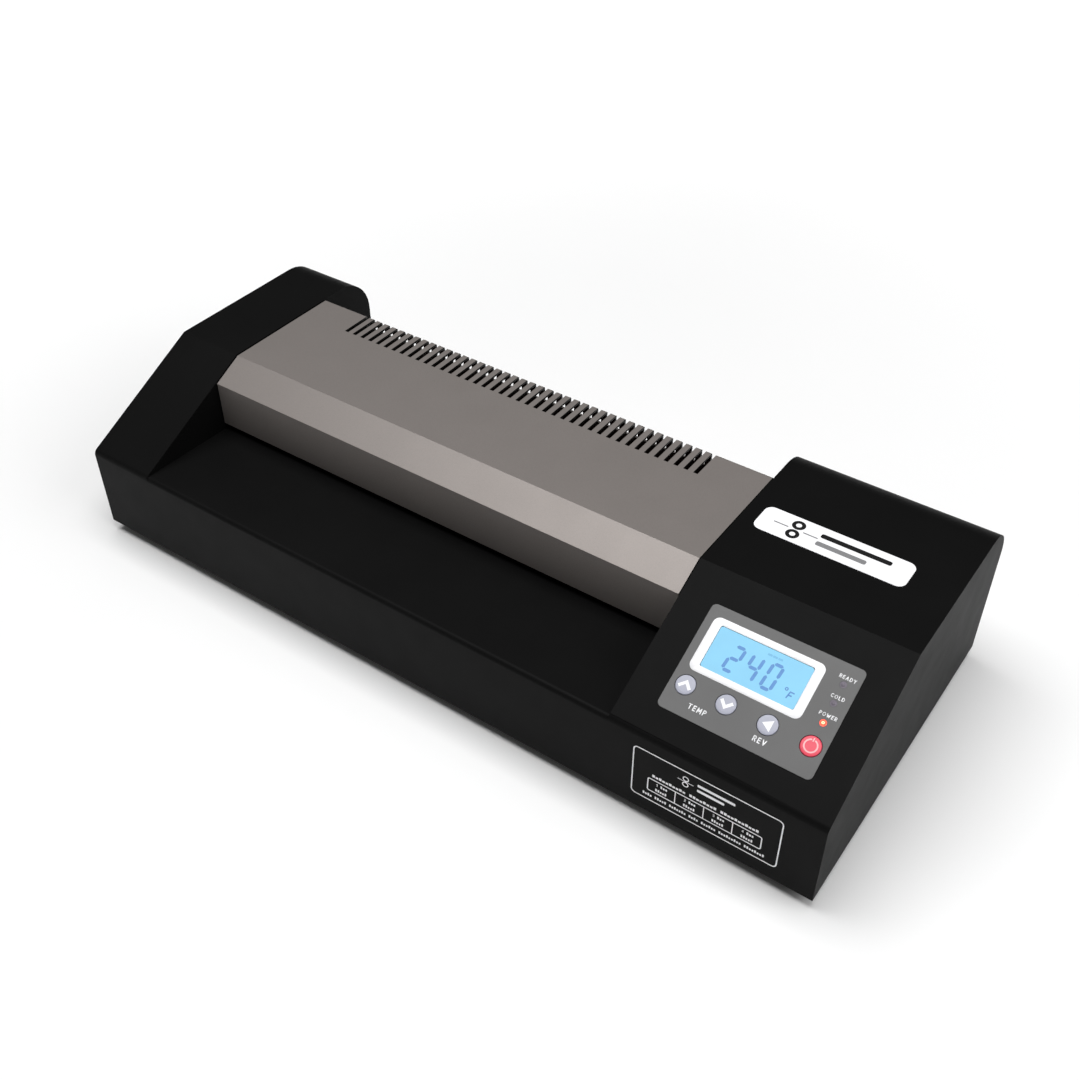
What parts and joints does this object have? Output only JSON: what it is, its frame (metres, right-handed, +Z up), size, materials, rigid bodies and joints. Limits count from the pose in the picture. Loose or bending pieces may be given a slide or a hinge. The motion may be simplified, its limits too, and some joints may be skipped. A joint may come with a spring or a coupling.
{
  "type": "pouch laminator",
  "caption": "Desktop pouch laminator with a low feed tray, raised centre cover over geared hot rollers and a control panel on the right.",
  "frame": {"origin": "centre of the footprint, on the surface the feet stand on", "axes": "+X to the right along the rollers, +Y from the feed side to the exit side, +Z up"},
  "size_m": [0.53, 0.2242, 0.1125],
  "materials": {
    "casing_paint": "fine satin black powder coat",
    "cover_paint": "satin warm-grey metallic paint",
    "base_paint": "satin black",
    "rubber": "matt black rubber",
    "screw_steel": "zinc plated",
    "frame_steel": "galvanised sheet",
    "spring_steel": "bright wire",
    "roller_steel": "ground steel",
    "silicone": "smooth silicone rubber",
    "bronze": "sintered bronze",
    "acetal": "natural acetal",
    "gear_dark": "filled nylon",
    "brass": "machined",
    "motor_can": "plated can",
    "shoe_aluminium": "extruded",
    "heater_sheath": "heat-tinted sheath",
    "bakelite": "moulded phenolic",
    "guide_steel": "coated sheet",
    "overlay_grey": "satin printed film",
    "bezel_white": "semi-gloss white",
    "lcd_blue": "back-lit blue display",
    "board_green": "solder mask",
    "led_lens": "diffuse lens",
    "key_plastic": "semi-gloss key",
    "power_key_plastic": "semi-gloss key",
    "badge_white": "semi-gloss white",
    "label_print": "printed film",
    "board_tan": "paper laminate",
    "component_black": "moulded cases",
    "inlet_black": "moulded",
    "wire_red": "silicone insulation"
  },
  "bodies": {
    "root": {"outer_casing": "casing_paint", "top_cover": "cover_paint", "base_plate": "base_paint", "rubber_feet": "rubber", "foot_screws": "screw_steel", "base_screws": "screw_steel", "cover_screws": "screw_steel", "left_side_frame": "frame_steel", "right_side_frame": "frame_steel", "frame_stays": "frame_steel", "frame_screws": "screw_steel", "spring_caps": "frame_steel", "lower_bushes": "bronze", "hot_pressure_springs": "spring_steel", "pull_pressure_springs": "spring_steel", "idler_stud": "screw_steel", "gear_motor": "motor_can", "motor_bracket": "frame_steel", "upper_heater_shoe": "shoe_aluminium", "lower_heater_shoe": "shoe_aluminium", "heater_elements": "heater_sheath", "thermal_cutouts": "bakelite", "thermistor": "heater_sheath", "infeed_guide": "guide_steel", "transfer_guide": "guide_steel", "exit_guide": "guide_steel", "panel_overlay": "overlay_grey", "lcd_bezel": "bezel_white", "lcd_module": "lcd_blue", "control_board": "board_green", "key_switches": "bakelite", "status_leds": "led_lens", "badge_plate": "badge_white", "front_label": "label_print", "power_board": "board_tan", "power_components": "component_black", "mains_inlet": "inlet_black", "inlet_pins": "screw_steel", "internal_wiring": "wire_red"},
    "upper_hot_carriage": {"upper_hot_blocks": "acetal"},
    "upper_pull_carriage": {"upper_pull_blocks": "acetal"},
    "lower_hot_roller": {"lower_hot_core": "roller_steel", "lower_hot_sleeve": "silicone", "lower_hot_gear": "gear_dark"},
    "upper_hot_roller": {"upper_hot_core": "roller_steel", "upper_hot_sleeve": "silicone", "upper_hot_gear": "gear_dark"},
    "lower_pull_roller": {"lower_pull_core": "roller_steel", "lower_pull_sleeve": "silicone", "lower_pull_gear": "gear_dark"},
    "upper_pull_roller": {"upper_pull_core": "roller_steel", "upper_pull_sleeve": "silicone", "upper_pull_gear": "gear_dark"},
    "idler": {"idler_gear": "acetal"},
    "pinion": {"motor_pinion": "brass", "motor_shaft": "roller_steel"},
    "up_key": {"up_key": "key_plastic"},
    "down_key": {"down_key": "key_plastic"},
    "reverse_key": {"reverse_key": "key_plastic"},
    "power_key": {"power_key": "power_key_plastic"}
  },
  "joints": [
    {"name": "lower_hot_spin", "type": "hinge", "parent": "root", "child": "lower_hot_roller", "pos_m": [0, -0.005, 0.0507], "axis": [1, 0, 0], "continuous": true},
    {"name": "lower_pull_spin", "type": "hinge", "parent": "root", "child": "lower_pull_roller", "pos_m": [0, 0.037, 0.0507], "axis": [1, 0, 0], "continuous": true},
    {"name": "upper_hot_lift", "type": "slide", "parent": "root", "child": "upper_hot_carriage", "axis": [0, 0, 1], "range_m": [0, 0.0015], "stiffness_N_per_m": 5000, "springref_m": -0.004, "deforming": ["hot_pressure_springs"]},
    {"name": "upper_pull_lift", "type": "slide", "parent": "root", "child": "upper_pull_carriage", "axis": [0, 0, 1], "range_m": [0, 0.0015], "stiffness_N_per_m": 5000, "springref_m": -0.004, "deforming": ["pull_pressure_springs"]},
    {"name": "upper_hot_spin", "type": "hinge", "parent": "upper_hot_carriage", "child": "upper_hot_roller", "pos_m": [0, -0.005, 0.0793], "axis": [1, 0, 0], "continuous": true},
    {"name": "upper_pull_spin", "type": "hinge", "parent": "upper_pull_carriage", "child": "upper_pull_roller", "pos_m": [0, 0.037, 0.0793], "axis": [1, 0, 0], "continuous": true},
    {"name": "idler_spin", "type": "hinge", "parent": "root", "child": "idler", "pos_m": [0, 0.016, 0.03606], "axis": [1, 0, 0], "continuous": true},
    {"name": "pinion_spin", "type": "hinge", "parent": "root", "child": "pinion", "pos_m": [0, 0.05917, 0.0379], "axis": [1, 0, 0], "continuous": true},
    {"name": "up_key_press", "type": "slide", "parent": "root", "child": "up_key", "axis": [0, 0.4484, -0.8938], "range_m": [0, 0.0006], "stiffness_N_per_m": 400},
    {"name": "down_key_press", "type": "slide", "parent": "root", "child": "down_key", "axis": [0, 0.4484, -0.8938], "range_m": [0, 0.0006], "stiffness_N_per_m": 400},
    {"name": "reverse_key_press", "type": "slide", "parent": "root", "child": "reverse_key", "axis": [0, 0.4484, -0.8938], "range_m": [0, 0.0006], "stiffness_N_per_m": 400},
    {"name": "power_key_press", "type": "slide", "parent": "root", "child": "power_key", "axis": [0, 0.4484, -0.8938], "range_m": [0, 0.0006], "stiffness_N_per_m": 400}
  ],
  "couplings": [
    {"joint": "lower_pull_spin", "follows": "lower_hot_spin", "ratio": 1},
    {"joint": "upper_hot_spin", "follows": "lower_hot_spin", "ratio": -1},
    {"joint": "upper_pull_spin", "follows": "lower_hot_spin", "ratio": -1},
    {"joint": "idler_spin", "follows": "lower_hot_spin", "ratio": -1.2667},
    {"joint": "pinion_spin", "follows": "lower_hot_spin", "ratio": -1.2667}
  ]
}
